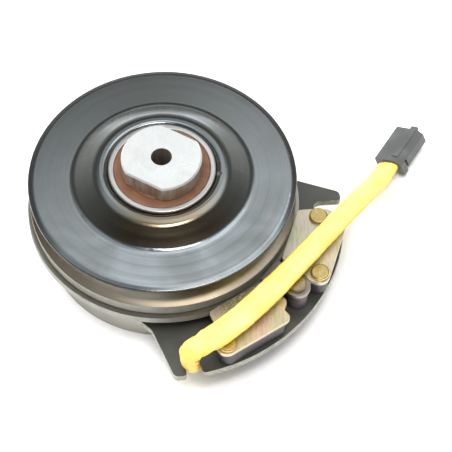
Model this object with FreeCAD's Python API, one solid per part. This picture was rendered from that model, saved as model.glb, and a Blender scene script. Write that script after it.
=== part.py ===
# Electromagnetic clutch with a V-belt pulley and a permanent-magnet brake.
# Frame: Z is the shaft axis and points up, z = 0 is the underside of the field shell, millimetres.
import FreeCAD, Part
import math
import os

Vec = FreeCAD.Vector
AXIS = Vec(0, 0, 1)
ORIGIN = Vec(0, 0, 0)

# ---- driving dimensions -------------------------------------------------------------------
BORE_R = 12.7             # shaft bore, 1 inch
KEY_WIDTH = 6.35          # keyway, 1/4 inch
KEY_TOP_R = 15.1
HUB_R = 17.5              # seat of both bearings
HUB_Z0, HUB_Z1 = 0.6, 70.5

BEARING_R_IN = 17.5       # 35 x 62 x 14 mm sealed ball bearing
BEARING_R_OUT = 31.0
BEARING_WIDTH = 14.0
RACE_IN_R = 21.7          # outside of the inner ring
RACE_OUT_R = 27.5         # inside of the outer ring
PITCH_R = 24.25
BALL_R = 3.97             # 5/16 inch balls
BALL_COUNT = 11
BALL_GAP = 0.12
CAGE_HALF = 1.2           # half the cage's radial thickness
CAGE_PRONG = 4.0
SEAL_THICK = 0.9
SEAL_RECESS = 0.5
FIELD_BEARING_Z = 2.6
SHOULDER_R = 29.0         # lip that each outer ring rests on
PULLEY_BEARING_Z = 56.5

CAP_R = 23.1              # cap under the shaft bolt, two wrench flats
CAP_FLATS = 39.7
CAP_FLAT_ANGLE = 60.6     # direction that the flats face
CAP_TOP = 81.1
CAP_THICK = 10.6
CAP_SPIGOT_R = 13.1
CAP_SPIGOT_LENGTH = 6.0
BOLT_R = 6.0
CAP_EDGE = 0.9

RIM_R = 77.65             # pulley
RIM_Z = 61.6              # flat annulus; the rolled rim below it is widest near 59.9
GROOVE_TOP, GROOVE_BOTTOM = 59.3, 44.2
GROOVE_FLOOR_R = 65.6
GROOVE_FLOOR_TOP, GROOVE_FLOOR_BOTTOM = 55.3, 48.2
CORE_R = 58.0             # inside of the ring that makes the groove's floor
CROWN_Z = 70.1
SHEET = 3.0               # wall of the pulley's domed half
SKIRT_R = 77.1
SKIRT_WALL = 3.4
SKIRT_Z = 36.2
WEB_Z0, WEB_Z1 = 41.0, 44.0
TUBE_R = 35.0             # outside of the pulley's hub tube
TUBE_Z = 54.2             # level where the two halves of the tube meet

ARMATURE_R = 79.5
ARMATURE_R_IN = 32.0
ARMATURE_Z0, ARMATURE_Z1 = 29.0, 35.8
ARMATURE_BEVEL = 1.4

ROTOR_R = 65.4
ROTOR_FACE_Z = 28.5
ROTOR_Z0 = 22.0
ROTOR_BOSS_Z0 = 18.5
ROTOR_BOSS_R = 28.4
ROTOR_NOSE_R = 20.8
FLUX_SLOT_R = (38.5, 57.0)
FLUX_SLOT_WIDTH = 3.0
FLUX_SLOTS = 4
LINING_R0, LINING_R1 = 45.0, 51.0
LINING_DEPTH = 1.6

SHELL_R = 70.0            # stationary field
SHELL_WALL = 4.0
SHELL_Z1 = 26.0
SHELL_FLOOR = 4.0
INNER_POLE_R = 36.0
INNER_POLE_Z1 = 21.6
COIL_Z0, COIL_Z1 = 4.4, 20.6
BOBBIN_R0, BOBBIN_R1 = 36.4, 65.6
BOBBIN_WALL = 1.6
WINDING_R = 61.5

PLATE_Z0, PLATE_Z1 = 17.5, 22.3   # 3/16 inch anti-rotation plate
PLATE_R = 106.7           # outer arc of the plate, struck from PLATE_CENTRE
PLATE_CENTRE = (-0.65, -3.6)
SLOT_WIDTH = 9.0
SLOT_END_R = 88.8         # distance from the axis to the bottom of each slot
SLOT_ANGLES = (3.3, -79.9)
CORNER_R = 2.0
TIP_R = 3.6
BEAD = 2.4                # leg of the weld fillet under the plate
BEAD_ANGLES = (-66.0, 22.0)

BRAKE_Z0, BRAKE_Z1 = 35.9, 38.5
BRAKE_INNER = 77.7        # straight inner edge, distance from the axis
BRAKE_OUTER = 107.3
BRAKE_PLACES = {"a": (-16.5, 0.0), "b": (-56.2, 1.4)}     # angle, shift outwards
BRAKE_RIVETS = ((90.3, 13.4), (101.4, -23.7))
BACKING_Z0 = 33.2
BACKING_INNER = 80.3
MAGNET_INNER = 81.5
HEAD_R = 5.4
HEAD_HEIGHT = 2.4
RIVET_R = 2.2
STRAP_RIVET = (97.5, -37.5)       # radius, angle
STRAP_SIDES = (-9.2, 6.6)
STRAP_END_R = 7.5

LEAF_Z0, LEAF_Z1 = 37.6, 38.4
LEAF_R = 55.0
LEAF_SPAN = 44.0          # degrees between its two rivets
LEAF_WIDTH = 11.0
LEAF_COUNT = 3
LEAF_RIVET_R = 2.4

LEAD_R = 4.2              # sleeve over the two coil leads, as a round tube
LEAD_ROUTE = [
    (14.3, -71.6, 10.5), (20.2, -101.5, 10.5), (13.5, -107.8, 44.8), (31.8, -97.0, 45.2),
    (50.1, -80.5, 45.4), (74.2, -53.0, 45.3), (93.5, -29.2, 45.0), (110.0, -7.3, 41.5),
    (120.8, 12.4, 29.5), (129.0, 32.0, 11.8), (135.7, 46.1, 7.0),
]
LEAD_FILLET = 0.45        # share of the shorter run taken by each bend
WIRE_R = 1.3
WIRE_SPACING = 3.4
GROMMET_R = 4.4
GROMMET_COLLAR_R = 5.4

PLUG_CORNER = (127.8, 52.7, 6.8)  # top left corner at the end where the lead enters
PLUG_ANGLE = 58.5         # direction of the plug, away from the lead
PLUG_ROLL = 24.0          # the plug lies on its lower left edge, right side raised
PLUG_LENGTH = 28.0
PLUG_WIDTH = 18.6
PLUG_DEPTH = 7.0
PLUG_SIDE_DEPTH = 9.5
PLUG_CHAMFER = 3.2
PLUG_RAIL = (10.8, 15.2)          # sides of the raised rail across the plug
PLUG_CAVITIES = (5.2, 13.2)       # centre of each terminal cavity across the plug
LEAD_COLLAR_R = 3.3


# ---- helpers ------------------------------------------------------------------------------
def cylinder(radius, z0, z1, x=0.0, y=0.0):
    return Part.makeCylinder(radius, z1 - z0, Vec(x, y, z0))


def ring(r_in, r_out, z0, z1):
    return cylinder(r_out, z0, z1).cut(cylinder(r_in, z0 - 1, z1 + 1))


def polar(radius, degrees, z=0.0):
    angle = math.radians(degrees)
    return Vec(radius * math.cos(angle), radius * math.sin(angle), z)


def turned(shape, degrees):
    copy = shape.copy()
    copy.rotate(ORIGIN, AXIS, degrees)
    return copy


def rounded_wire(corners, place):
    """Closed wire through corners (a, b, radius); a radius of 0 leaves the corner sharp."""
    spots = [place(corner[0], corner[1]) for corner in corners]
    arcs = []
    for index, corner in enumerate(corners):
        spot = spots[index]
        back = (spots[index - 1] - spot).normalize()
        ahead = (spots[(index + 1) % len(spots)] - spot).normalize()
        radius = corner[2]
        if radius == 0:
            arcs.append((spot, None, spot))
            continue
        half = back.getAngle(ahead) / 2
        reach = radius / math.tan(half)
        bisector = (back + ahead).normalize()
        middle = spot + bisector * (radius / math.sin(half) - radius)
        arcs.append((spot + back * reach, middle, spot + ahead * reach))
    edges = []
    for index, (start, middle, end) in enumerate(arcs):
        if middle is not None:
            edges.append(Part.Arc(start, middle, end).toShape())
        following = arcs[(index + 1) % len(arcs)][0]
        if end.distanceToPoint(following) > 1e-6:
            edges.append(Part.LineSegment(end, following).toShape())
    return Part.Wire(edges)


def lathe(corners):
    """Solid turned about the axis from a profile of (radius, z, fillet) corners."""
    wire = rounded_wire(corners, lambda r, z: Vec(r, 0, z))
    return Part.Face(wire).revolve(ORIGIN, AXIS, 360)


def slab(corners, z0, z1):
    """Flat piece from an outline of (x, y, fillet) corners."""
    wire = rounded_wire(corners, lambda x, y: Vec(x, y, z0))
    return Part.Face(wire).extrude(Vec(0, 0, z1 - z0))


def around(shape, count, first=0.0):
    return [turned(shape, first + 360.0 * index / count) for index in range(count)]


def save(name, solids):
    shapes = solids if isinstance(solids, list) else [solids]
    pieces = [solid for shape in shapes for solid in shape.Solids]
    shape = pieces[0] if len(pieces) == 1 else Part.makeCompound(pieces)
    if not shape.isValid():
        raise RuntimeError(name + " is not a valid shape")
    shape.exportStep("parts/" + name + ".step")


# ---- shaft side: hub, cap, rotor ----------------------------------------------------------
def drive_hub():
    hub = ring(BORE_R, HUB_R, HUB_Z0, HUB_Z1)
    keyway_top = HUB_Z1 - CAP_SPIGOT_LENGTH - 2
    keyway = Part.makeBox(KEY_TOP_R, KEY_WIDTH, keyway_top, Vec(0, -KEY_WIDTH / 2, 0))
    groove = ring(HUB_R - 1.0, HUB_R + 1, 1.2, 2.4)
    spigot_seat = cylinder(CAP_SPIGOT_R + 0.1, HUB_Z1 - CAP_SPIGOT_LENGTH, HUB_Z1 + 1)
    return hub.cut(keyway).cut(groove).cut(spigot_seat)


def hub_snap_ring():
    snap = ring(HUB_R - 0.9, HUB_R + 2.4, 1.3, 2.3)
    mouth = Part.makeBox(30, 5, 6, Vec(5, -2.5, 0))
    return snap.cut(mouth)


def end_cap():
    bottom = CAP_TOP - CAP_THICK
    disc = cylinder(CAP_R, bottom, CAP_TOP)
    block = Part.makeBox(CAP_FLATS, 60, 60, Vec(-CAP_FLATS / 2, -30, bottom - 10))
    cap = disc.common(turned(block, CAP_FLAT_ANGLE))
    top_edges = [edge for edge in cap.Edges if edge.BoundBox.ZMin > CAP_TOP - 0.01]
    cap = cap.makeChamfer(CAP_EDGE, top_edges)
    spigot = cylinder(CAP_SPIGOT_R, bottom - CAP_SPIGOT_LENGTH, bottom)
    return cap.fuse(spigot).cut(cylinder(BOLT_R, bottom - 10, CAP_TOP + 1)).removeSplitter()


def bearing_spacer():
    return ring(HUB_R, 20.6, ROTOR_FACE_Z - 0.5, PULLEY_BEARING_Z)


def rotor_disc():
    nose_z0 = FIELD_BEARING_Z + BEARING_WIDTH
    body = lathe([
        (HUB_R, nose_z0, 0), (ROTOR_NOSE_R, nose_z0, 0), (ROTOR_NOSE_R, ROTOR_BOSS_Z0, 0),
        (ROTOR_BOSS_R, ROTOR_BOSS_Z0, 0.8), (ROTOR_BOSS_R, ROTOR_Z0, 0), (ROTOR_R, ROTOR_Z0, 0.6),
        (ROTOR_R, ROTOR_FACE_Z, 0.6), (23.0, ROTOR_FACE_Z, 0.5), (23.0, ROTOR_FACE_Z - 0.5, 0),
        (HUB_R, ROTOR_FACE_Z - 0.5, 0),
    ])
    body = body.cut(ring(LINING_R0, LINING_R1, ROTOR_FACE_Z - LINING_DEPTH, ROTOR_FACE_Z + 1))
    for slot_r in FLUX_SLOT_R:
        body = body.cut(flux_slots(slot_r, ROTOR_Z0 - 1, ROTOR_FACE_Z + 1))
    return body


def flux_slots(radius, z0, z1):
    """Ring of arc-shaped slots that steers the magnetic flux, bridged by short webs."""
    band = ring(radius - FLUX_SLOT_WIDTH / 2, radius + FLUX_SLOT_WIDTH / 2, z0, z1)
    bridge = Part.makeBox(radius + 10, 7, z1 - z0, Vec(0, -3.5, z0))
    for web in around(bridge, FLUX_SLOTS):
        band = band.cut(web)
    return band


def friction_lining():
    return ring(LINING_R0, LINING_R1, ROTOR_FACE_Z - LINING_DEPTH, ROTOR_FACE_Z)


# ---- ball bearings ------------------------------------------------------------------------
def raceway(z0):
    return Part.makeTorus(PITCH_R, BALL_R + BALL_GAP, Vec(0, 0, z0 + BEARING_WIDTH / 2))


def bearing_ring(r_in, r_out, z0):
    z1 = z0 + BEARING_WIDTH
    blank = lathe([(r_in, z0, 0.8), (r_out, z0, 0.8), (r_out, z1, 0.8), (r_in, z1, 0.8)])
    return blank.cut(raceway(z0))


def bearing_balls(z0):
    ball = Part.makeSphere(BALL_R, Vec(PITCH_R, 0, z0 + BEARING_WIDTH / 2))
    return around(ball, BALL_COUNT)


def bearing_cage(z0):
    """Crown cage: a ring under the balls with a prong standing up between each pair."""
    middle = z0 + BEARING_WIDTH / 2
    r_in, r_out = PITCH_R - CAGE_HALF, PITCH_R + CAGE_HALF
    cage = ring(r_in, r_out, middle - 5.4, middle - BALL_R - 0.15)
    length = 2 * CAGE_HALF
    prong = Part.makeBox(length, CAGE_PRONG, 7.0, Vec(r_in, -CAGE_PRONG / 2, middle - 5.4))
    step = 360.0 / BALL_COUNT
    return cage.fuse(around(prong, BALL_COUNT, step / 2)).removeSplitter()


def bearing_seals(z0):
    inner = RACE_IN_R + 0.12
    low = z0 + SEAL_RECESS
    high = z0 + BEARING_WIDTH - SEAL_RECESS - SEAL_THICK
    return [ring(inner, RACE_OUT_R, z, z + SEAL_THICK) for z in (low, high)]


# ---- pulley -------------------------------------------------------------------------------
def pulley_upper():
    """Domed half: bearing seat, crown, flat annulus, rolled rim and the groove's upper flank."""
    seat_r = BEARING_R_OUT + 0.05
    return lathe([
        (SHOULDER_R, TUBE_Z, 0), (SHOULDER_R, PULLEY_BEARING_Z, 0.4), (seat_r, PULLEY_BEARING_Z, 0),
        (seat_r, CROWN_Z, 3.0), (38.2, CROWN_Z, 8.0), (51.7, RIM_Z, 6.0), (74.6, RIM_Z, 4.0),
        (RIM_R, RIM_Z - 1.0, 0.9), (RIM_R, GROOVE_TOP, 0.4), (GROOVE_FLOOR_R, GROOVE_FLOOR_TOP, 0),
        (62.0, GROOVE_FLOOR_TOP, 0), (60.5, RIM_Z - SHEET, 2.0), (50.8, RIM_Z - SHEET, 8.0),
        (38.0, CROWN_Z - SHEET, 4.0), (TUBE_R, CROWN_Z - SHEET, 1.0), (TUBE_R, TUBE_Z, 0),
    ])


def groove_core():
    return ring(CORE_R, GROOVE_FLOOR_R, GROOVE_FLOOR_BOTTOM, GROOVE_FLOOR_TOP)


def pulley_lower():
    """Flat half: groove's lower flank, skirt over the armature, web and hub tube."""
    skirt_in = SKIRT_R - SKIRT_WALL
    tube_in = BEARING_R_OUT + 0.5
    half = lathe([
        (GROOVE_FLOOR_R, GROOVE_FLOOR_BOTTOM, 0), (RIM_R, GROOVE_BOTTOM, 0.4), (RIM_R, GROOVE_BOTTOM - 1.6, 0.2),
        (SKIRT_R, GROOVE_BOTTOM - 2.0, 0), (SKIRT_R, SKIRT_Z, 0.4), (skirt_in, SKIRT_Z, 0.4),
        (skirt_in, WEB_Z0, 1.2), (tube_in, WEB_Z0, 0.5), (tube_in, TUBE_Z, 0), (TUBE_R, TUBE_Z, 0),
        (TUBE_R, WEB_Z1, 1.5), (61.0, WEB_Z1, 1.5), (62.2, GROOVE_FLOOR_BOTTOM, 0),
    ])
    return half.cut(leaf_rivet_holes())


def leaf_rivet_holes():
    start, _ = leaf_ends(0)
    hole = cylinder(LEAF_RIVET_R, WEB_Z0 - 1, WEB_Z1 + 1, start.x, start.y)
    return Part.makeCompound(around(hole, LEAF_COUNT))


# ---- armature and its leaf springs --------------------------------------------------------
def leaf_ends(index):
    first = 20.0 + 360.0 * index / LEAF_COUNT
    return polar(LEAF_R, first), polar(LEAF_R, first + LEAF_SPAN)


def armature_disc():
    disc = lathe([
        (ARMATURE_R_IN, ARMATURE_Z0, 0.6), (ARMATURE_R - ARMATURE_BEVEL, ARMATURE_Z0, 0),
        (ARMATURE_R, ARMATURE_Z0 + ARMATURE_BEVEL, 0.5), (ARMATURE_R, ARMATURE_Z1 - 0.6, 0),
        (ARMATURE_R - 0.6, ARMATURE_Z1, 0), (ARMATURE_R_IN, ARMATURE_Z1, 0.6),
    ])
    disc = disc.cut(flux_slots(47.8, ARMATURE_Z0 - 1, ARMATURE_Z1 + 1))
    _, end = leaf_ends(0)
    hole = cylinder(LEAF_RIVET_R, ARMATURE_Z0 - 1, ARMATURE_Z1 + 1, end.x, end.y)
    for opening in around(hole, LEAF_COUNT):
        disc = disc.cut(opening)
    return disc


def leaf_springs():
    springs = []
    for index in range(LEAF_COUNT):
        start, end = leaf_ends(index)
        along = (end - start).normalize()
        across = Vec(-along.y, along.x, 0) * (LEAF_WIDTH / 2)
        tail = along * (LEAF_WIDTH / 2)
        corners = [start - tail - across, end + tail - across, end + tail + across, start - tail + across]
        strip = slab([(c.x, c.y, LEAF_WIDTH * 0.45) for c in corners], LEAF_Z0, LEAF_Z1)
        for spot in (start, end):
            strip = strip.cut(cylinder(LEAF_RIVET_R, LEAF_Z0 - 1, LEAF_Z1 + 1, spot.x, spot.y))
        springs.append(strip)
    return springs


def pulley_leaf_rivets():
    """Rivet with a distance collar between the pulley web and each leaf spring."""
    start, _ = leaf_ends(0)
    shank = cylinder(LEAF_RIVET_R, LEAF_Z0, WEB_Z1, start.x, start.y)
    lower_head = cylinder(4.0, LEAF_Z0 - 1.2, LEAF_Z0, start.x, start.y)
    upper_head = cylinder(4.0, WEB_Z1, WEB_Z1 + 1.5, start.x, start.y)
    collar = cylinder(4.6, LEAF_Z1, WEB_Z0, start.x, start.y)
    rivet = shank.fuse([lower_head, upper_head, collar]).removeSplitter()
    return around(rivet, LEAF_COUNT)


def armature_leaf_rivets():
    _, end = leaf_ends(0)
    shank = cylinder(LEAF_RIVET_R, ARMATURE_Z0 + 0.4, LEAF_Z1, end.x, end.y)
    head = cylinder(4.0, LEAF_Z1, LEAF_Z1 + 1.2, end.x, end.y)
    collar = cylinder(4.6, ARMATURE_Z1, LEAF_Z0, end.x, end.y)
    rivet = shank.fuse([head, collar]).removeSplitter()
    return around(rivet, LEAF_COUNT)


# ---- stationary field ---------------------------------------------------------------------
def field_shell():
    seat_r = BEARING_R_OUT + 0.05
    groove_z0 = FIELD_BEARING_Z + BEARING_WIDTH + 0.2
    shell = lathe([
        (SHOULDER_R, 0, 0.5), (SHELL_R, 0, 1.2), (SHELL_R, SHELL_Z1, 0.8),
        (SHELL_R - SHELL_WALL, SHELL_Z1, 0.5), (SHELL_R - SHELL_WALL, SHELL_FLOOR, 0.8),
        (INNER_POLE_R, SHELL_FLOOR, 0.8), (INNER_POLE_R, INNER_POLE_Z1, 0.5),
        (seat_r, INNER_POLE_Z1, 0), (seat_r, groove_z0 + 1.3, 0), (seat_r + 1.1, groove_z0 + 1.3, 0),
        (seat_r + 1.1, groove_z0, 0), (seat_r, groove_z0, 0), (seat_r, FIELD_BEARING_Z, 0),
        (SHOULDER_R, FIELD_BEARING_Z, 0),
    ])
    return shell.cut(lead_exit(GROMMET_R, SHELL_R - SHELL_WALL - 2, SHELL_R + 2))


def lead_exit(radius, r0, r1):
    """Cylinder along the direction in which the lead leaves the shell."""
    x, y, z = LEAD_ROUTE[0]
    angle = math.degrees(math.atan2(y, x))
    return Part.makeCylinder(radius, r1 - r0, polar(r0, angle, z), polar(1, angle))


def bearing_snap_ring():
    z0 = FIELD_BEARING_Z + BEARING_WIDTH + 0.3
    snap = ring(BEARING_R_OUT - 2.0, BEARING_R_OUT + 1.0, z0, z0 + 1.1)
    mouth = Part.makeBox(40, 6, 6, Vec(20, -3, z0 - 2))
    return snap.cut(turned(mouth, 150))


def coil_bobbin():
    return lathe([
        (BOBBIN_R0, COIL_Z0, 0), (BOBBIN_R1, COIL_Z0, 0), (BOBBIN_R1, COIL_Z0 + BOBBIN_WALL, 0),
        (BOBBIN_R0 + BOBBIN_WALL, COIL_Z0 + BOBBIN_WALL, 0),
        (BOBBIN_R0 + BOBBIN_WALL, COIL_Z1 - BOBBIN_WALL, 0), (BOBBIN_R1, COIL_Z1 - BOBBIN_WALL, 0),
        (BOBBIN_R1, COIL_Z1, 0), (BOBBIN_R0, COIL_Z1, 0),
    ])


def coil_winding():
    return ring(BOBBIN_R0 + BOBBIN_WALL, WINDING_R, COIL_Z0 + BOBBIN_WALL, COIL_Z1 - BOBBIN_WALL)


def coil_potting():
    band = ring(WINDING_R, BOBBIN_R1, COIL_Z0 + BOBBIN_WALL, COIL_Z1 - BOBBIN_WALL)
    return drop_leads(band)


def plate_slot(degrees):
    """Open-ended radial slot with a round bottom."""
    half = SLOT_WIDTH / 2
    middle = SLOT_END_R + half
    tool = Part.makeBox(60, SLOT_WIDTH, 20, Vec(middle, -half, PLATE_Z0 - 5))
    tool = tool.fuse(cylinder(half, PLATE_Z0 - 5, PLATE_Z0 + 15, middle, 0))
    return turned(tool, degrees)


def mounting_plate():
    """Anti-rotation plate: a sector that grows out of the shell, with two slots."""
    disc = cylinder(PLATE_R, PLATE_Z0, PLATE_Z1, PLATE_CENTRE[0], PLATE_CENTRE[1])
    sector = slab([
        (-22.0, -65.0, 0), (-5.6, -79.3, 8.0), (9.4, -113.4, 0), (120.0, -113.4, 0),
        (120.0, 11.6, 0), (50.0, 34.0, 0),
    ], PLATE_Z0, PLATE_Z1)
    plate = disc.common(sector)
    plate = plate.makeFillet(TIP_R, rim_corners(plate))
    for degrees in SLOT_ANGLES:
        plate = plate.cut(plate_slot(degrees))
    mouths = [edge for edge in rim_corners(plate) if is_slot_mouth(edge)]
    plate = plate.makeFillet(CORNER_R, mouths)
    plate = plate.cut(cylinder(SHELL_R, PLATE_Z0 - 1, PLATE_Z1 + 1))
    return drilled(plate, brake_rivet_spots() + [strap_rivet_spot()], PLATE_Z0, PLATE_Z1)


def rim_corners(plate):
    """Upright edges on the plate's outer arc."""
    corners = []
    for edge in plate.Edges:
        box = edge.BoundBox
        distance = math.hypot(box.XMin - PLATE_CENTRE[0], box.YMin - PLATE_CENTRE[1])
        if box.XLength < 0.01 and box.YLength < 0.01 and abs(distance - PLATE_R) < 0.05:
            corners.append(edge)
    return corners


def is_slot_mouth(edge):
    angle = math.degrees(math.atan2(edge.BoundBox.YMin, edge.BoundBox.XMin))
    return any(abs(angle - slot) < 3.2 for slot in SLOT_ANGLES)


def weld_bead():
    """Fillet weld between the shell and the underside of the plate."""
    r, z = SHELL_R, PLATE_Z0
    wire = Part.makePolygon([Vec(r, 0, z), Vec(r + BEAD, 0, z), Vec(r, 0, z - BEAD), Vec(r, 0, z)])
    span = BEAD_ANGLES[1] - BEAD_ANGLES[0]
    return turned(Part.Face(wire).revolve(ORIGIN, AXIS, span), BEAD_ANGLES[0])


def brake_outline(inset=0.0, inner=BRAKE_INNER):
    """Outline of a brake plate in its own frame, x pointing away from the shaft."""
    outer = BRAKE_OUTER - inset
    return [
        (inner, -20.4 + inset, 2.0), (88.0, -22.4 + inset, 10.0), (96.2, -29.8 + inset, 5.0),
        (outer, -30.1 + inset, 5.9), (outer, 16.5 - inset, 3.2), (100.2 - inset, 15.7 - inset, 1.8),
        (96.3 - inset, 20.7 - inset, 4.2), (87.8, 19.0 - inset, 5.0), (inner, 15.0 - inset, 2.0),
    ]


def brake_place(shape, name):
    angle, shift = BRAKE_PLACES[name]
    moved = shape.copy()
    moved.translate(Vec(shift, 0, 0))
    return turned(moved, angle)


def brake_rivet_spots():
    spots = []
    for angle, shift in BRAKE_PLACES.values():
        for x, y in BRAKE_RIVETS:
            spots.append(turned(Part.Vertex(x + shift, y, 0), angle).Point)
    return spots


def drilled(shape, spots, z0, z1):
    for spot in spots:
        shape = shape.cut(cylinder(RIVET_R, z0 - 1, z1 + 1, spot.x, spot.y))
    return shape


def brake_layer(name, z0, z1, inset=0.0, inner=BRAKE_INNER):
    layer = brake_place(slab(brake_outline(inset, inner), z0, z1), name)
    return drilled(layer, brake_rivet_spots(), z0, z1)


def brake_plate(name):
    return brake_layer(name, BRAKE_Z0, BRAKE_Z1)


def backing_plate(name):
    return brake_layer(name, BACKING_Z0, BRAKE_Z0, 0.8, BACKING_INNER)


def magnet_block(name):
    return brake_layer(name, PLATE_Z1, BACKING_Z0, 1.8, MAGNET_INNER)


def rivet_head(x, y, radius, z0, height):
    head = cylinder(radius, z0, z0 + height, x, y)
    rim = [edge for edge in head.Edges if edge.BoundBox.ZMin > z0 + height - 0.01]
    return head.makeFillet(height * 0.4, rim)


def rivet(spot, head_r):
    head = rivet_head(spot.x, spot.y, head_r, BRAKE_Z1, HEAD_HEIGHT)
    shank = cylinder(RIVET_R, PLATE_Z0, BRAKE_Z1, spot.x, spot.y)
    foot = cylinder(RIVET_R + 1.4, PLATE_Z0 - 1.2, PLATE_Z0, spot.x, spot.y)
    return head.fuse([shank, foot]).removeSplitter()


def brake_rivets():
    return [rivet(spot, HEAD_R) for spot in brake_rivet_spots()]


def strap_rivet_spot():
    return polar(*STRAP_RIVET)


def centre_strap():
    """Radial strap between the two brake plates, with a round outer end."""
    radius, angle = STRAP_RIVET
    low, high = STRAP_SIDES
    bar = slab([
        (BRAKE_INNER + 0.2, low, 1.4), (radius, -STRAP_END_R, 0), (radius, STRAP_END_R, 0),
        (BRAKE_INNER + 0.2, high, 1.4),
    ], BRAKE_Z0, BRAKE_Z1)
    bar = bar.fuse(cylinder(STRAP_END_R, BRAKE_Z0, BRAKE_Z1, radius, 0)).removeSplitter()
    strap = turned(bar, angle)
    for name in BRAKE_PLACES:
        space = slab(brake_outline(-0.5, BRAKE_INNER - 0.5), BRAKE_Z0 - 1, BRAKE_Z1 + 1)
        strap = strap.cut(brake_place(space, name))
    return drilled(strap, [strap_rivet_spot()], BRAKE_Z0, BRAKE_Z1)


def strap_post():
    spot = strap_rivet_spot()
    post = cylinder(STRAP_END_R - 1.2, PLATE_Z1, BRAKE_Z0, spot.x, spot.y)
    for name in BRAKE_PLACES:
        space = slab(brake_outline(0.3, BACKING_INNER - 0.5), PLATE_Z1 - 1, BRAKE_Z0 + 1)
        post = post.cut(brake_place(space, name))
    return drilled(post, [spot], PLATE_Z1, BRAKE_Z0)


def strap_rivet():
    return rivet(strap_rivet_spot(), HEAD_R - 0.2)


# ---- coil lead and plug -------------------------------------------------------------------
def lead_path():
    """Straight runs joined by tangent arcs; prints the radius of each bend."""
    spots = [Vec(*point) for point in LEAD_ROUTE]
    edges = []
    here = spots[0]
    for index in range(1, len(spots) - 1):
        corner = spots[index]
        back = spots[index - 1] - corner
        ahead = spots[index + 1] - corner
        reach = LEAD_FILLET * min(back.Length, ahead.Length)
        turn = math.pi - back.getAngle(ahead)
        radius = reach / math.tan(turn / 2)
        back.normalize()
        ahead.normalize()
        start = corner + back * reach
        end = corner + ahead * reach
        bisector = (back + ahead).normalize()
        middle = corner + bisector * (radius / math.cos(turn / 2) - radius)
        print("lead bend %d: radius %.1f mm, turn %.0f degrees" % (index, radius, math.degrees(turn)))
        edges.append(Part.LineSegment(here, start).toShape())
        edges.append(Part.Arc(start, middle, end).toShape())
        here = end
    edges.append(Part.LineSegment(here, spots[-1]).toShape())
    return Part.Wire(edges)


def lead_sleeve():
    path = lead_path()
    heading = Vec(*LEAD_ROUTE[1]) - Vec(*LEAD_ROUTE[0])
    section = Part.Wire(Part.makeCircle(LEAD_R, Vec(*LEAD_ROUTE[0]), heading))
    tube = path.makePipeShell([section], True, True)
    expected = math.pi * LEAD_R ** 2 * path.Length
    print("lead length %.1f mm, volume %.0f of %.0f mm3" % (path.Length, tube.Volume, expected))
    return tube


def lead_grommet():
    """Rubber grommet in the wall of the field shell; the sleeve starts at its outer face."""
    end_r = math.hypot(LEAD_ROUTE[0][0], LEAD_ROUTE[0][1])
    body = lead_exit(GROMMET_R, SHELL_R - SHELL_WALL, end_r)
    collar = lead_exit(GROMMET_COLLAR_R, SHELL_R - 1, end_r).cut(cylinder(SHELL_R, 0, 30))
    return drop_leads(body.fuse(collar).removeSplitter())


def coil_leads():
    """The two insulated wires between the winding and the end of the sleeve."""
    end_r = math.hypot(LEAD_ROUTE[0][0], LEAD_ROUTE[0][1])
    wire = lead_exit(WIRE_R, WINDING_R + 0.3, end_r)
    across = polar(WIRE_SPACING / 2, math.degrees(math.atan2(LEAD_ROUTE[0][1], LEAD_ROUTE[0][0])) + 90)
    leads = []
    for side in (-1, 1):
        lead = wire.copy()
        lead.translate(across * side)
        leads.append(lead)
    return leads


def drop_leads(shape):
    for lead in coil_leads():
        shape = shape.cut(lead)
    return shape


def plug_frame(shape):
    """Moves a plug piece to its place from its own frame: x away from the lead, -y across, z up."""
    rolled = shape.copy()
    rolled.rotate(ORIGIN, Vec(1, 0, 0), -PLUG_ROLL)
    placed = turned(rolled, PLUG_ANGLE)
    placed.translate(Vec(*PLUG_CORNER))
    return placed


def plug_box(x0, x1, across0, across1, z0, z1):
    return Part.makeBox(x1 - x0, across1 - across0, z1 - z0, Vec(x0, -across1, z0))


def plug_housing():
    profile = rounded_wire([
        (0, 0, 0.6), (0, -PLUG_DEPTH, 0.6), (PLUG_WIDTH - 5, -PLUG_DEPTH, 0),
        (PLUG_WIDTH - 5, -PLUG_SIDE_DEPTH, 0.4), (PLUG_WIDTH, -PLUG_SIDE_DEPTH, 0.6),
        (PLUG_WIDTH, -PLUG_CHAMFER, 0.6), (PLUG_WIDTH - PLUG_CHAMFER, 0, 0.6),
    ], lambda across, z: Vec(0, -across, z))
    body = Part.Face(profile).extrude(Vec(PLUG_LENGTH, 0, 0))
    body = body.cut(plug_box(4.4, 6.2, PLUG_WIDTH - 1.6, PLUG_WIDTH + 1, -11, -PLUG_CHAMFER))
    lug = plug_box(0.0, 4.4, PLUG_WIDTH - 4.4, PLUG_WIDTH, -PLUG_SIDE_DEPTH - 1.8, -PLUG_CHAMFER - 1)
    body = body.fuse(lug).removeSplitter()
    for middle in PLUG_CAVITIES:
        body = body.cut(plug_box(PLUG_LENGTH - 16, PLUG_LENGTH + 1, middle - 2.9, middle + 2.9, -5.8, -1.2))
    return plug_frame(body).fuse(plug_collar()).removeSplitter()


def plug_collar():
    """Short round collar on the line of the lead's last run."""
    end = Vec(*LEAD_ROUTE[-1])
    heading = (end - Vec(*LEAD_ROUTE[-2])).normalize()
    return Part.makeCylinder(LEAD_COLLAR_R, 3.4, end, heading)


def plug_latch():
    """Locking rail along the top of the plug."""
    low, high = PLUG_RAIL
    rail = plug_box(3.5, PLUG_LENGTH + 1.4, low, high, 0, 1.1)
    hook = plug_box(PLUG_LENGTH, PLUG_LENGTH + 1.4, low, high, -1.0, 0.5)
    return plug_frame(rail.fuse(hook).removeSplitter())


def plug_terminals():
    blades = []
    for middle in PLUG_CAVITIES:
        blade = plug_box(PLUG_LENGTH - 16, PLUG_LENGTH - 2.5, middle - 2, middle + 2, -4.0, -3.0)
        blades.append(plug_frame(blade))
    return blades


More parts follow.
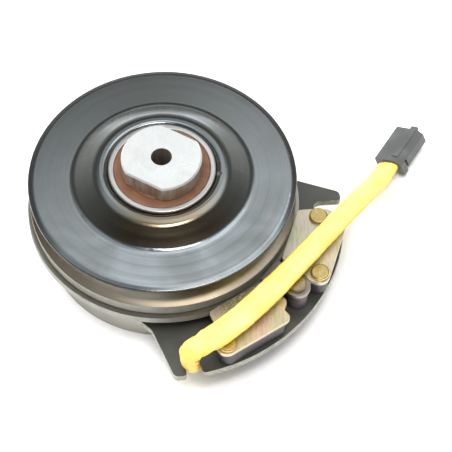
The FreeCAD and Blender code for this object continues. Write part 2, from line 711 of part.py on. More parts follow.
def build():
    os.makedirs("parts", exist_ok=True)
    save("drive_hub", drive_hub())
    save("hub_snap_ring", hub_snap_ring())
    save("end_cap", end_cap())
    save("bearing_spacer", bearing_spacer())
    save("rotor_disc", rotor_disc())
    save("friction_lining", friction_lining())
    for prefix, z0 in (("field", FIELD_BEARING_Z), ("pulley", PULLEY_BEARING_Z)):
        save(prefix + "_bearing_inner_ring", bearing_ring(BEARING_R_IN, RACE_IN_R, z0))
        save(prefix + "_bearing_outer_ring", bearing_ring(RACE_OUT_R, BEARING_R_OUT, z0))
        save(prefix + "_bearing_balls", bearing_balls(z0))
        save(prefix + "_bearing_cage", bearing_cage(z0))
        save(prefix + "_bearing_seals", bearing_seals(z0))
    save("pulley_upper", pulley_upper())
    save("groove_core", groove_core())
    save("pulley_lower", pulley_lower())
    save("armature_disc", armature_disc())
    save("leaf_springs", leaf_springs())
    save("pulley_leaf_rivets", pulley_leaf_rivets())
    save("armature_leaf_rivets", armature_leaf_rivets())
    save("field_shell", field_shell())
    save("bearing_snap_ring", bearing_snap_ring())
    save("coil_bobbin", coil_bobbin())
    save("coil_winding", coil_winding())
    save("coil_potting", coil_potting())
    save("mounting_plate", mounting_plate())
    save("weld_bead", weld_bead())
    for name in BRAKE_PLACES:
        save("brake_plate_" + name, brake_plate(name))
        save("backing_plate_" + name, backing_plate(name))
        save("magnet_block_" + name, magnet_block(name))
    save("brake_rivets", brake_rivets())
    save("centre_strap", centre_strap())
    save("strap_post", strap_post())
    save("strap_rivet", strap_rivet())
    save("lead_sleeve", lead_sleeve())
    save("lead_grommet", lead_grommet())
    save("coil_leads", coil_leads())
    save("plug_housing", plug_housing())
    save("plug_latch", plug_latch())
    save("plug_terminals", plug_terminals())


build()
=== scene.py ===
import math

import bmesh
import bpy
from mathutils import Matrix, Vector


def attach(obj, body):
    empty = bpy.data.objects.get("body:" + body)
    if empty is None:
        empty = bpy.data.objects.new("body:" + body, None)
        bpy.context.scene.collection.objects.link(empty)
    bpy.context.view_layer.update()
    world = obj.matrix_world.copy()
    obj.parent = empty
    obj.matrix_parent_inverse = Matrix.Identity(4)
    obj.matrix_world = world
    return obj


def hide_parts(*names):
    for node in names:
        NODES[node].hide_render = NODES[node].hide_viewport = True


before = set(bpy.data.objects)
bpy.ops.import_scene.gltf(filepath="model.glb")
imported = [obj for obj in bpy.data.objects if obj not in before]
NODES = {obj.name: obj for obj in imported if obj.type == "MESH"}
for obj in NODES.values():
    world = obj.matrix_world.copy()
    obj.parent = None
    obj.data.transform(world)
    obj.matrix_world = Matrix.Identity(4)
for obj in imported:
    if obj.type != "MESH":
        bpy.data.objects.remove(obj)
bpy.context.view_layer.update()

MM = 0.001
SHARP_ANGLE = math.radians(28)
MIX_FACTOR, MIX_A, MIX_B = 0, 6, 7    # sockets of a colour Mix node


def from_mm(point):
    return Vector(point) * MM


def linear(red, green, blue):
    """Linear colour from display values between 0 and 255."""
    out = []
    for value in (red, green, blue):
        v = value / 255
        out.append(v / 12.92 if v <= 0.04045 else ((v + 0.055) / 1.055) ** 2.4)
    return (*out, 1.0)


# ---- camera ---------------------------------------------------------------------------------
def make_camera():
    data = bpy.data.cameras.new("camera")
    data.lens = 159.29
    data.sensor_width = 36.0
    data.clip_start = 0.05
    data.clip_end = 20.0
    camera = bpy.data.objects.new("camera", data)
    camera.location = (0.03668, -0.66297, 1.00394)
    camera.rotation_euler = (math.radians(33.71), 0, 0)
    bpy.context.scene.collection.objects.link(camera)
    bpy.context.scene.camera = camera


make_camera()


# ---- small mesh helpers ---------------------------------------------------------------------
def new_object(name, mesh_builder, smooth=True):
    """Object from a bmesh, with its faces turned outwards."""
    mesh = bpy.data.meshes.new(name)
    bmesh.ops.recalc_face_normals(mesh_builder, faces=mesh_builder.faces)
    mesh_builder.to_mesh(mesh)
    mesh_builder.free()
    for polygon in mesh.polygons:
        polygon.use_smooth = smooth
    obj = bpy.data.objects.new(name, mesh)
    bpy.context.scene.collection.objects.link(obj)
    return obj


# ---- materials ------------------------------------------------------------------------------
class Look:
    """A material and the few node shapes it is built from."""

    def __init__(self, name, color, roughness, metallic=0.0):
        self.material = bpy.data.materials.new(name)
        self.material.use_nodes = True
        self.tree = self.material.node_tree
        self.shader = self.tree.nodes["Principled BSDF"]
        self.shader.inputs["Base Color"].default_value = color
        self.shader.inputs["Roughness"].default_value = roughness
        self.shader.inputs["Metallic"].default_value = metallic
        self.coords = self.node("ShaderNodeTexCoord")
        self.place = self.coords.outputs["Object"]

    def node(self, kind, **settings):
        made = self.tree.nodes.new(kind)
        for key, value in settings.items():
            setattr(made, key, value)
        return made

    def feed(self, socket, value):
        if isinstance(value, bpy.types.NodeSocket):
            self.tree.links.new(value, socket)
        else:
            socket.default_value = value

    def noise(self, scale, detail=3.0, stretch=None, distortion=0.0):
        made = self.node("ShaderNodeTexNoise")
        source = self.place
        if stretch:
            source = self.stretched(source, stretch)
        self.feed(made.inputs["Vector"], source)
        self.feed(made.inputs["Scale"], scale)
        self.feed(made.inputs["Detail"], detail)
        self.feed(made.inputs["Distortion"], distortion)
        return made.outputs["Fac"]

    def stretched(self, source, stretch):
        mapping = self.node("ShaderNodeMapping")
        self.feed(mapping.inputs["Vector"], source)
        mapping.inputs["Scale"].default_value = stretch
        return mapping.outputs["Vector"]

    def radius(self):
        """Distance from the shaft axis."""
        flat = self.stretched(self.place, (1, 1, 0))
        length = self.node("ShaderNodeVectorMath", operation="LENGTH")
        self.feed(length.inputs[0], flat)
        return length.outputs["Value"]

    def height(self):
        split = self.node("ShaderNodeSeparateXYZ")
        self.feed(split.inputs[0], self.place)
        return split.outputs["Z"]

    def rings(self, scale, detail=4.0, source=None):
        """Concentric tool marks, or level ones when the source is the height."""
        made = self.node("ShaderNodeTexNoise", noise_dimensions="1D")
        self.feed(made.inputs["W"], self.math("MULTIPLY", source or self.radius(), scale))
        self.feed(made.inputs["Scale"], 1.0)
        self.feed(made.inputs["Detail"], detail)
        return made.outputs["Fac"]

    def math(self, operation, a, b=0.0, clamp=False):
        made = self.node("ShaderNodeMath", operation=operation, use_clamp=clamp)
        self.feed(made.inputs[0], a)
        self.feed(made.inputs[1], b)
        return made.outputs[0]

    def span(self, value, low, high, to_low=0.0, to_high=1.0):
        made = self.node("ShaderNodeMapRange")
        for socket, number in zip(made.inputs, (value, low, high, to_low, to_high)):
            self.feed(socket, number)
        return made.outputs[0]

    def mix(self, factor, a, b):
        made = self.node("ShaderNodeMix", data_type="RGBA")
        self.feed(made.inputs[MIX_FACTOR], factor)
        self.feed(made.inputs[MIX_A], a)
        self.feed(made.inputs[MIX_B], b)
        return made.outputs[2]

    def color(self, value):
        self.feed(self.shader.inputs["Base Color"], value)

    def rough(self, value):
        self.feed(self.shader.inputs["Roughness"], value)

    def bump(self, *layers):
        """Stacks bump layers of (height, distance in metres, strength)."""
        normal = None
        for height, distance, strength in layers:
            made = self.node("ShaderNodeBump")
            self.feed(made.inputs["Height"], height)
            self.feed(made.inputs["Distance"], distance)
            self.feed(made.inputs["Strength"], strength)
            if normal:
                self.feed(made.inputs["Normal"], normal)
            normal = made.outputs["Normal"]
        self.feed(self.shader.inputs["Normal"], normal)

    def near(self, point, radius):
        """1 at a point in millimetres, falling to 0 at a radius."""
        distance = self.node("ShaderNodeVectorMath", operation="DISTANCE")
        self.feed(distance.inputs[0], self.place)
        distance.inputs[1].default_value = from_mm(point)
        return self.span(distance.outputs["Value"], 0.0, radius * MM, 1.0, 0.0)


def side_mask(look, low=0.35, high=0.75):
    """1 on faces that stand upright, 0 on level ones."""
    geometry = look.node("ShaderNodeNewGeometry")
    split = look.node("ShaderNodeSeparateXYZ")
    look.feed(split.inputs[0], geometry.outputs["Normal"])
    return look.span(look.math("ABSOLUTE", split.outputs["Z"]), low, high, 1.0, 0.0)


def turned_metal(name, color, dark, roughness, marks=1500.0, depth=0.000012, stain=0.5, spread=0.45):
    """Zinc or steel surface with concentric tool marks, a cloudy tint and small pits."""
    look = Look(name, color, roughness, 1.0)
    fine = look.rings(marks)
    broad = look.rings(marks * 0.12, 2.0)
    cloud = look.noise(32.0, 4.0, distortion=0.7)
    pits = look.noise(1500.0, 2.0)
    base = look.mix(look.span(cloud, 0.36, 0.68, 0.0, stain), color, dark)
    base = look.mix(look.span(broad, 0.40, 0.66, 0.0, 0.13), base, dark)
    base = look.mix(look.span(fine, 0.42, 0.72, 0.0, 0.22), base, dark)
    look.color(look.mix(look.span(pits, 0.66, 0.76, 0.0, 0.35), base, dark))
    rough = look.math("ADD", look.span(cloud, 0.3, 0.7, -0.04, 0.05), roughness)
    look.rough(look.math("ADD", rough, look.span(broad, 0.35, 0.7, -0.03, 0.06), clamp=True))
    look.bump((fine, depth, 0.4), (broad, depth, 0.12), (pits, 0.00001, 0.05))
    look.shader.inputs["Anisotropic"].default_value = spread
    tangent = look.node("ShaderNodeTangent", direction_type="RADIAL", axis="Z")
    look.feed(look.shader.inputs["Tangent"], tangent.outputs[0])
    return look


def plain_metal(name, color, dark, roughness, grain=(1.0, 1.0, 1.0), stain=0.6, metallic=1.0):
    """Sheet or ground metal with grain in one direction and a cloudy stain."""
    look = Look(name, color, roughness, metallic)
    grit = look.noise(700.0, 3.0, grain)
    cloud = look.noise(55.0, 4.0, distortion=1.0)
    pits = look.noise(2300.0, 2.0)
    base = look.mix(look.span(cloud, 0.4, 0.7, 0.0, stain), color, dark)
    base = look.mix(look.span(grit, 0.45, 0.75, 0.0, 0.3), base, dark)
    look.color(base)
    rough = look.math("ADD", look.span(grit, 0.3, 0.7, -0.06, 0.1), roughness)
    look.rough(look.math("ADD", rough, look.span(cloud, 0.35, 0.7, -0.03, 0.06), clamp=True))
    look.bump((grit, 0.00003, 0.3), (pits, 0.00002, 0.2), (cloud, 0.0001, 0.15))
    return look


def chromate(name, pink, green, blue, grime=0.0, roughness=0.4):
    """Yellow zinc chromate: soft rainbow tints, rolled grain and speckled grime."""
    look = Look(name, pink, roughness, 0.8)
    tints = look.noise(62.0, 2.0, distortion=0.5)
    bands = look.noise(130.0, 2.0, (1.0, 0.5, 1.0), 0.5)
    grain = look.noise(900.0, 3.0, (1.0, 0.14, 1.0))
    speck = look.noise(1100.0, 3.0)
    base = look.mix(look.span(tints, 0.36, 0.64, 0.0, 0.7), pink, green)
    base = look.mix(look.span(bands, 0.44, 0.70, 0.0, 0.6), base, blue)
    base = look.mix(look.span(grain, 0.45, 0.75, 0.0, 0.35), base, linear(134, 122, 92))
    if grime:
        corner = look.near((44.0, -62.0, 38.5), 24.0)
        spots = look.math("MULTIPLY", look.span(corner, 0.0, 0.5, 0.0, grime), look.span(speck, 0.36, 0.56))
        base = look.mix(spots, base, linear(134, 132, 84))
    look.color(base)
    look.rough(look.math("ADD", look.span(speck, 0.3, 0.7, -0.05, 0.08), roughness, clamp=True))
    look.bump((grain, 0.00003, 0.35), (speck, 0.00002, 0.3))
    return look


def moulded(name, color, light, roughness, grain=1500.0):
    """Moulded plastic or rubber with a fine texture, rubbed lighter in places."""
    look = Look(name, color, roughness)
    grit = look.noise(grain, 2.0)
    cloud = look.noise(70.0, 3.0, distortion=0.8)
    base = look.mix(look.span(cloud, 0.42, 0.7, 0.0, 0.6), color, light)
    look.color(look.mix(look.span(grit, 0.6, 0.8, 0.0, 0.25), base, light))
    look.rough(look.math("ADD", look.span(grit, 0.3, 0.7, -0.07, 0.1), roughness, clamp=True))
    look.bump((grit, 0.00003, 0.4), (cloud, 0.00006, 0.2))
    return look


def pulley_look():
    """Dark zinc pulley half: turning marks, a brown tint on the front of the dome that is a painted
    reflection, a dark rim edge, a pale stake mark at two places by the bearing and scratches on the dome."""
    look = turned_metal("pulley_zinc", linear(160, 167, 173), linear(130, 131, 123), 0.2, 1300.0,
                        0.000008, 0.45, 0.5)
    color = look.shader.inputs["Base Color"].links[0].from_socket
    stakes = look.math("ADD", look.near((32.6, -3.4, 69.6), 2.0), look.near((-12.5, 31.0, 69.6), 0.8),
                       clamp=True)
    # Painted reflection: a warm brown tint, fixed to the front of the dome, stands in for a warm reflection
    # there.
    front = look.span(look.near((8.0, -58.0, 62.0), 62.0), 0.1, 0.55)
    painted_warm_reflection = look.math("MULTIPLY", front, look.span(look.height(), 0.0622, 0.0635))
    color = look.mix(look.math("MULTIPLY", painted_warm_reflection, 0.75), color, linear(140, 120, 88))
    edge = look.math("MULTIPLY", look.span(look.radius(), 0.0757, 0.0764), side_mask(look, 0.25, 0.8))
    color = look.mix(edge, color, linear(58, 51, 42))
    scored = look.noise(1400.0, 1.0, (1.0, 0.12, 1.0))
    scuffs = look.math("MULTIPLY", look.near((-10.6, -46.0, 65.0), 3.5),
                       look.span(scored, 0.54, 0.66, 0.0, 0.8))
    bare = look.math("ADD", look.span(stakes, 0.2, 0.5), scuffs, clamp=True)
    look.color(look.mix(bare, color, linear(226, 226, 220)))
    before = look.shader.inputs["Normal"].links[0].from_socket
    dent = look.node("ShaderNodeBump")
    look.feed(dent.inputs["Height"], look.math("SUBTRACT", 1.0, look.span(stakes, 0.0, 0.6)))
    look.feed(dent.inputs["Distance"], 0.0004)
    look.feed(dent.inputs["Strength"], 0.6)
    look.feed(dent.inputs["Normal"], before)
    look.feed(look.shader.inputs["Normal"], dent.outputs["Normal"])
    return look


def dulled_sides(look, color, dark, roughness, metallic):
    """Makes upright faces dull grey with faint level marks, leaving the other faces as they are."""
    upright = side_mask(look, 0.12, 0.4)
    before = look.shader.inputs["Base Color"].links[0].from_socket
    level = look.rings(1300.0, 3.0, look.height())
    smear = look.noise(120.0, 3.0, (1.0, 1.0, 0.4), 0.8)
    grey = look.mix(look.span(level, 0.36, 0.66, 0.0, 0.5), color, dark)
    grey = look.mix(look.span(smear, 0.44, 0.70, 0.0, 0.45), grey, dark)
    look.color(look.mix(upright, before, grey))
    rough = look.shader.inputs["Roughness"].links[0].from_socket
    dull = look.span(smear, 0.3, 0.7, roughness - 0.05, roughness + 0.06)
    look.rough(look.math("ADD", look.math("MULTIPLY", rough, look.math("SUBTRACT", 1.0, upright)),
                         look.math("MULTIPLY", dull, upright)))
    look.feed(look.shader.inputs["Metallic"], look.span(upright, 0.0, 1.0, 1.0, metallic))
    return look


def flank_look():
    look = turned_metal("pulley_flank", linear(182, 170, 152), linear(146, 133, 116), 0.3, 1100.0,
                        0.000004, 0.4, 0.3)
    return dulled_sides(look, linear(138, 138, 130), linear(104, 102, 94), 0.52, 0.3)


def armature_look():
    look = turned_metal("armature_steel", linear(176, 176, 168), linear(140, 138, 128), 0.42, 2100.0)
    return dulled_sides(look, linear(150, 150, 142), linear(112, 110, 102), 0.5, 0.3)


def cap_look():
    """Bright machined cap: satin top with faint smears, and brown on its upright sides that is partly
    staining and partly a painted reflection of the brown bearing seal.
    """
    look = Look("cap_steel", linear(214, 217, 218), 0.3, 0.7)
    smear = look.noise(90.0, 3.0, (1.0, 0.5, 1.0), 0.8)
    fine = look.noise(1300.0, 2.0, (1.0, 0.3, 1.0))
    base = look.mix(look.span(smear, 0.42, 0.68, 0.0, 0.45), linear(218, 221, 222), linear(192, 192, 190))
    base = look.mix(look.span(fine, 0.5, 0.8, 0.0, 0.25), base, linear(180, 178, 175))
    streaks = look.noise(300.0, 3.0, (1.0, 1.0, 0.15))
    # Brown on the upright sides: partly staining, partly a painted reflection of the brown seal.
    stain = look.math("MULTIPLY", side_mask(look), look.span(streaks, 0.3, 0.65, 0.6, 1.0))
    look.color(look.mix(stain, base, linear(146, 128, 108)))
    look.rough(look.span(smear, 0.3, 0.7, 0.26, 0.38))
    look.bump((fine, 0.00001, 0.25), (smear, 0.00004, 0.15))
    return look


def black_coat_look():
    """Black coated plate with rubbed faces and bare olive-grey metal on its cut edges."""
    look = moulded("black_coat", linear(56, 57, 53), linear(68, 67, 62), 0.34, 1700.0)
    color = look.shader.inputs["Base Color"].links[0].from_socket
    edge = side_mask(look)
    worn = look.math("MULTIPLY", edge,
                     look.span(look.noise(300.0, 3.0, distortion=0.5), 0.35, 0.6, 0.45, 1.0))
    look.color(look.mix(worn, color, linear(150, 150, 134)))
    look.shader.inputs["Specular IOR Level"].default_value = 0.6
    return look


BRAIDS_AROUND = 14
BRAIDS_ALONG = 110


def sleeve_look():
    """Varnished woven sleeve: diagonal braid, long creases, deeper yellow where it is creased, and deeper
    yellow on its steep sides as painted shade.
    """
    yellow, deep_tone_and_side_shade = linear(243, 229, 130), linear(228, 186, 68)
    look = Look("sleeve", yellow, 0.42)
    split = look.node("ShaderNodeSeparateXYZ")
    look.feed(split.inputs[0], look.coords.outputs["UV"])
    around = look.math("MULTIPLY", split.outputs["X"], 2 * math.pi * BRAIDS_AROUND)
    along = look.math("MULTIPLY", split.outputs["Y"], 2 * math.pi * BRAIDS_ALONG)
    one = look.math("SINE", look.math("ADD", around, along))
    other = look.math("SINE", look.math("SUBTRACT", around, along))
    weave = look.math("MAXIMUM", one, other)
    cloud = look.noise(48.0, 3.0, distortion=1.0)
    strands = look.node("ShaderNodeTexNoise")
    look.feed(strands.inputs["Vector"], look.stretched(look.coords.outputs["UV"], (26.0, 9.0, 1.0)))
    look.feed(strands.inputs["Scale"], 1.0)
    look.feed(strands.inputs["Detail"], 4.0)
    creases = strands.outputs["Fac"]
    base = look.mix(look.span(cloud, 0.38, 0.72, 0.0, 0.55), yellow, deep_tone_and_side_shade)
    base = look.mix(look.span(creases, 0.50, 0.68, 0.0, 0.5), base, deep_tone_and_side_shade)
    base = look.mix(look.span(weave, -0.8, 0.5, 0.45, 0.0), base, deep_tone_and_side_shade)
    # Painted shade: the steep sides of the sleeve get the deeper yellow, the level top keeps the pale one.
    level = look.math("SUBTRACT", 1.0, side_mask(look, 0.30, 0.90))
    look.color(look.mix(level, deep_tone_and_side_shade, base))
    look.rough(look.math("ADD", look.span(weave, -1.0, 1.0, 0.07, -0.04), 0.42, clamp=True))
    look.bump((weave, 0.00012, 0.45), (creases, 0.0007, 0.5))
    look.shader.inputs["Coat Weight"].default_value = 0.25
    look.shader.inputs["Coat Roughness"].default_value = 0.3
    look.shader.inputs["Subsurface Weight"].default_value = 0.10
    look.shader.inputs["Subsurface Radius"].default_value = (0.004, 0.003, 0.001)
    look.shader.inputs["Subsurface Scale"].default_value = 1.0
    return look


LOOKS = {
    "pulley": pulley_look(),
    "flank": flank_look(),
    "shell": turned_metal("shell_zinc", linear(168, 166, 158), linear(128, 124, 110),
                          0.38, 1100.0, 0.000012, 0.5, 0.3),
    "armature": armature_look(),
    "cap": cap_look(),
    "bearing": turned_metal("bearing_steel", linear(242, 242, 242), linear(206, 196, 192), 0.3, 2600.0),
    "race": plain_metal("race_rusty", linear(134, 98, 78), linear(96, 66, 50),
                        0.45, (1.0, 1.0, 1.0), 0.7, 0.5),
    "steel": plain_metal("bare_steel", linear(150, 148, 144), linear(96, 84, 70), 0.4),
    "spring": plain_metal("spring_steel", linear(110, 114, 122), linear(66, 64, 66), 0.35, (1.0, 0.1, 1.0)),
    "dark": plain_metal("dark_steel", linear(116, 108, 112), linear(70, 62, 64),
                        0.45, (1.0, 1.0, 0.3), 0.5, 0.7),
    "strap": plain_metal("strap_steel", linear(172, 164, 154), linear(136, 126, 120),
                         0.4, (1.0, 0.3, 1.0), 0.4),
    "plate_a": chromate("chromate_a", linear(214, 204, 176), linear(184, 196, 172), linear(206, 190, 196)),
    "plate_b": chromate("chromate_b", linear(220, 196, 166), linear(184, 190, 150),
                        linear(212, 172, 168), 0.95),
    "rivet": plain_metal("rivet_gold", linear(220, 198, 132), linear(170, 142, 82),
                         0.32, (1.0, 1.0, 1.0), 0.6),
    "rivet_tan": plain_metal("rivet_tan", linear(184, 170, 140), linear(140, 122, 96), 0.38),
    "black": black_coat_look(),
    "magnet": moulded("magnet_dark", linear(45, 42, 44), linear(62, 57, 60), 0.4, 1200.0),
    "seal": moulded("seal_brown", linear(94, 62, 44), linear(122, 90, 66), 0.38, 600.0),
    "nylon": moulded("black_nylon", linear(40, 40, 42), linear(60, 60, 62), 0.5),
    "plug": moulded("plug_grey", linear(78, 79, 80), linear(98, 99, 100), 0.42, 1700.0),
    "copper": plain_metal("copper_wire", linear(190, 110, 66), linear(120, 60, 36), 0.4),
    "lining": moulded("lining_brown", linear(86, 74, 62), linear(128, 112, 94), 0.8, 800.0),
    "brass": plain_metal("terminal_brass", linear(206, 176, 110), linear(160, 126, 70), 0.3),
    "wire": moulded("wire_black", linear(34, 34, 36), linear(58, 58, 60), 0.45),
    "sleeve": sleeve_look(),
}

NODE_LOOKS = {
    "pulley_upper": "pulley", "pulley_lower": "flank", "groove_core": "flank",
    "field_shell": "shell", "armature_disc": "armature", "end_cap": "cap",
    "pulley_bearing_outer_ring": "bearing", "pulley_bearing_inner_ring": "race",
    "field_bearing_outer_ring": "bearing", "field_bearing_inner_ring": "bearing",
    "pulley_bearing_balls": "bearing", "field_bearing_balls": "bearing",
    "pulley_bearing_cage": "nylon", "field_bearing_cage": "nylon",
    "pulley_bearing_seals": "seal", "field_bearing_seals": "seal",
    "drive_hub": "steel", "rotor_disc": "steel", "bearing_spacer": "steel",
    "hub_snap_ring": "spring", "bearing_snap_ring": "spring", "leaf_springs": "spring",
    "friction_lining": "lining", "pulley_leaf_rivets": "rivet", "armature_leaf_rivets": "rivet",
    "coil_bobbin": "nylon", "coil_winding": "copper", "coil_potting": "nylon",
    "mounting_plate": "black", "weld_bead": "dark",
    "brake_plate_a": "plate_a", "brake_plate_b": "plate_b",
    "backing_plate_a": "dark", "backing_plate_b": "dark",
    "magnet_block_a": "magnet", "magnet_block_b": "magnet",
    "brake_rivets": "rivet", "centre_strap": "strap", "strap_post": "dark", "strap_rivet": "rivet_tan",
    "lead_grommet": "nylon", "coil_leads": "wire",
    "plug_housing": "plug", "plug_latch": "plug", "plug_terminals": "brass",
}


def dress_cad_nodes():
    for node, look in NODE_LOOKS.items():
        obj = NODES[node]
        material = LOOKS[look].material
        obj.data.materials.clear()
        obj.data.materials.append(material)
        obj.data.shade_smooth()
        obj.data.set_sharp_from_angle(angle=SHARP_ANGLE)


dress_cad_nodes()

# ---- coil lead ------------------------------------------------------------------------------
LEAD_ROUTE = [
    (14.3, -71.6, 10.5), (20.2, -101.5, 10.5), (13.5, -107.8, 44.8), (31.8, -97.0, 45.2),
    (50.1, -80.5, 45.4), (74.2, -53.0, 45.3), (93.5, -29.2, 45.0), (110.0, -7.3, 41.5),
    (120.8, 12.4, 29.5), (129.0, 32.0, 11.8), (135.7, 46.1, 7.0),
]
SLEEVE_SIDES = 40
FOLD_AT, FOLD_REACH = 50, 15    # millimetres along the lead
# share of the length, width and thickness of the sleeve in millimetres, direction of its broad side
SLEEVE_STATIONS = [
    (0.00, 8.4, 8.2, (0.98, 0.19, 0.0)), (0.10, 8.4, 8.2, (0.98, 0.19, 0.0)),
    (0.155, 9.4, 7.4, (0.90, -0.42, 0.0)), (0.21, 12.4, 6.0, (0.74, -0.66, 0.0)),
    (0.28, 15.2, 5.6, (0.64, -0.77, 0.0)), (0.42, 15.0, 6.0, (0.68, -0.73, 0.0)),
    (0.54, 13.6, 6.6, (0.72, -0.69, 0.0)), (0.66, 12.6, 7.0, (0.77, -0.63, 0.0)),
    (0.80, 13.4, 6.8, (0.84, -0.53, 0.1)), (0.93, 14.0, 6.2, (0.84, -0.50, 0.2)),
    (1.00, 13.6, 5.8, (0.80, -0.48, 0.36)),
]


def route_line():
    """Points read from a smooth spline whose control points are the lead's route."""
    curve = bpy.data.curves.new("lead_route", "CURVE")
    curve.dimensions = "3D"
    curve.resolution_u = 24
    spline = curve.splines.new("NURBS")
    spline.points.add(len(LEAD_ROUTE) - 1)
    for point, spot in zip(spline.points, LEAD_ROUTE):
        point.co = (*from_mm(spot), 1.0)
    spline.order_u = 3
    spline.use_endpoint_u = True
    obj = bpy.data.objects.new("lead_route", curve)
    bpy.context.scene.collection.objects.link(obj)
    bpy.context.view_layer.update()
    line = bpy.data.meshes.new_from_object(obj)
    points = [vertex.co.copy() for vertex in line.vertices]
    bpy.data.objects.remove(obj)
    bpy.data.meshes.remove(line)
    return points


def between_stations(share):
    for before, after in zip(SLEEVE_STATIONS, SLEEVE_STATIONS[1:]):
        if share <= after[0]:
            t = (share - before[0]) / (after[0] - before[0])
            t = t * t * (3 - 2 * t)
            width = before[1] + (after[1] - before[1]) * t
            thick = before[2] + (after[2] - before[2]) * t
            return width, thick, Vector(before[3]).lerp(Vector(after[3]), t)
    last = SLEEVE_STATIONS[-1]
    return last[1], last[2], Vector(last[3])


def lengths_along(points):
    total = [0.0]
    for a, b in zip(points, points[1:]):
        total.append(total[-1] + (b - a).length)
    return total


def sleeve_mesh(points):
    """Oval tube whose width, thickness and twist change along the route, with soft wrinkles."""
    lengths = lengths_along(points)
    builder = bmesh.new()
    uv = builder.loops.layers.uv.new("UVMap")
    rows = []
    for index, point in enumerate(points):
        ahead = points[min(index + 1, len(points) - 1)]
        back = points[max(index - 1, 0)]
        tangent = (ahead - back).normalized()
        width, thick, broad = between_stations(lengths[index] / lengths[-1])
        broad = (broad - tangent * broad.dot(tangent)).normalized()
        flat = tangent.cross(broad).normalized()
        row = []
        for step in range(SLEEVE_SIDES):
            angle = 2 * math.pi * step / SLEEVE_SIDES
            s = lengths[index] * 1000
            wrinkle = 1 + 0.012 * math.sin(s * 0.41 + 2.2 * math.cos(angle))
            wrinkle += 0.008 * math.sin(s * 1.1 - 3 * angle)
            fold = math.exp(-((s - FOLD_AT) / FOLD_REACH) ** 2)
            wrinkle += fold * (0.07 * math.sin(s * 0.8 + 5 * angle) + 0.06 * math.sin(s * 0.45 - 3 * angle))
            c, d = math.cos(angle), math.sin(angle)
            side = math.copysign(abs(c) ** 0.85, c) * width / 2 * wrinkle
            rise = math.copysign(abs(d) ** 0.85, d) * thick / 2 * wrinkle
            row.append(builder.verts.new(point + (broad * side + flat * rise) * MM))
        rows.append(row)
    for index in range(len(rows) - 1):
        for step in range(SLEEVE_SIDES):
            after = (step + 1) % SLEEVE_SIDES
            here, ahead = rows[index], rows[index + 1]
            face = builder.faces.new((here[step], ahead[step], ahead[after], here[after]))
            shares = [(step, index), (step, index + 1), (step + 1, index + 1), (step + 1, index)]
            for loop, (u, v) in zip(face.loops, shares):
                loop[uv].uv = (u / SLEEVE_SIDES, lengths[v] / lengths[-1])
    builder.faces.new(list(reversed(rows[0])))
    builder.faces.new(rows[-1])
    return new_object("sleeve", builder)


line = route_line()
sleeve = sleeve_mesh(line)
sleeve.data.materials.append(LOOKS["sleeve"].material)
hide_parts("lead_sleeve")
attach(sleeve, "field")


# ---- floor, light and surroundings ----------------------------------------------------------
FLOOR_HALF = 3.0
FLOOR_DROP = 0.0003
LIGHT_TARGET = Vector((0.03, -0.02, 0.04))


def make_floor():
    builder = bmesh.new()
    bmesh.ops.create_grid(builder, x_segments=8, y_segments=8, size=FLOOR_HALF)
    floor = new_object("floor", builder, smooth=False)
    floor.location.z = -FLOOR_DROP
    look = Look("floor", linear(244, 244, 244), 0.8)
    speck = look.noise(220.0, 3.0)
    look.color(look.mix(look.span(speck, 0.3, 0.7), linear(243, 243, 244), linear(248, 248, 248)))
    floor.data.materials.append(look.material)


def area_light(name, direction, distance, size, power, color=(1, 1, 1), mirrored=True):
    data = bpy.data.lights.new(name, "AREA")
    data.shape = "RECTANGLE"
    data.size, data.size_y = size
    data.energy = power
    data.color = color
    light = bpy.data.objects.new(name, data)
    towards = Vector(direction).normalized()
    light.location = LIGHT_TARGET + towards * distance
    light.rotation_euler = towards.to_track_quat("Z", "Y").to_euler()
    light.visible_glossy = mirrored
    bpy.context.scene.collection.objects.link(light)


def world_span(tree, value, low, high, to_low, to_high):
    made = tree.nodes.new("ShaderNodeMapRange")
    made.interpolation_type = "SMOOTHSTEP"
    tree.links.new(value, made.inputs[0])
    for socket, number in zip(made.inputs[1:5], (low, high, to_low, to_high)):
        socket.default_value = number
    return made.outputs[0]


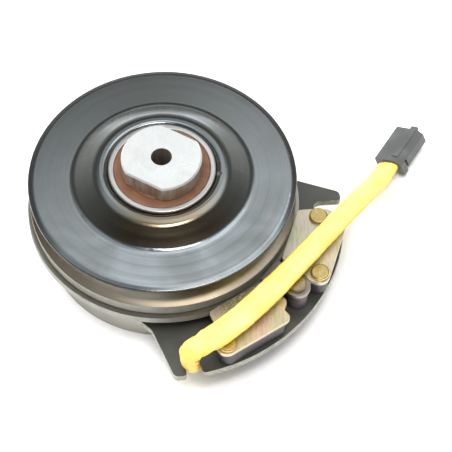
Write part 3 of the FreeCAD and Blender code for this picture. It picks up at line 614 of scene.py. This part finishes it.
def world_math(tree, operation, a, b):
    made = tree.nodes.new("ShaderNodeMath")
    made.operation = operation
    for socket, value in zip(made.inputs, (a, b)):
        if isinstance(value, bpy.types.NodeSocket):
            tree.links.new(value, socket)
        else:
            socket.default_value = value
    return made.outputs[0]


def make_world():
    """Studio surroundings: grey walls, and a large soft panel high up behind the object."""
    world = bpy.data.worlds.new("studio")
    bpy.context.scene.world = world
    world.use_nodes = True
    tree = world.node_tree
    coords = tree.nodes.new("ShaderNodeTexCoord")
    split = tree.nodes.new("ShaderNodeSeparateXYZ")
    tree.links.new(coords.outputs["Generated"], split.inputs[0])
    x, y, z = split.outputs
    walls = world_span(tree, z, 0.05, 0.60, 0.60, 0.13)
    panel = world_span(tree, z, 0.785, 0.86, 0.0, 1.85)
    panel = world_math(tree, "MULTIPLY", panel, world_span(tree, y, -0.12, 0.12, 0.0, 1.0))
    panel = world_math(tree, "MULTIPLY", panel, world_span(tree, x, -0.10, -0.06, 0.30, 1.0))
    total = world_math(tree, "ADD", walls, panel)
    total = world_math(tree, "MULTIPLY", total, world_span(tree, y, -0.55, 0.15, 0.45, 1.0))
    tint = tree.nodes.new("ShaderNodeMix")
    tint.data_type = "RGBA"
    tree.links.new(world_span(tree, z, 0.79, 0.88, 0.0, 1.0), tint.inputs[MIX_FACTOR])
    tint.inputs[MIX_A].default_value = (1.0, 0.97, 0.88, 1)
    tint.inputs[MIX_B].default_value = (0.93, 0.98, 1.0, 1)
    background = tree.nodes["Background"]
    tree.links.new(tint.outputs[2], background.inputs["Color"])
    tree.links.new(total, background.inputs["Strength"])


make_floor()
make_world()
area_light("overhead", (0.10, -0.26, 1.0), 1.3, (0.50, 0.20), 4.3, (1.0, 0.96, 0.90))
area_light("fill", (-0.12, 0.05, 1.0), 1.5, (2.2, 2.2), 54.0, (1.0, 1.0, 1.0), mirrored=False)
area_light("fill_left", (-0.8, 0.25, 0.65), 1.6, (1.2, 1.2), 14.0, (1.0, 1.0, 1.0), mirrored=False)
area_light("fill_front", (0.1, -0.9, 0.45), 1.8, (1.6, 0.8), 11.0, (1.0, 1.0, 1.0), mirrored=False)
bpy.context.scene.view_settings.view_transform = "Standard"
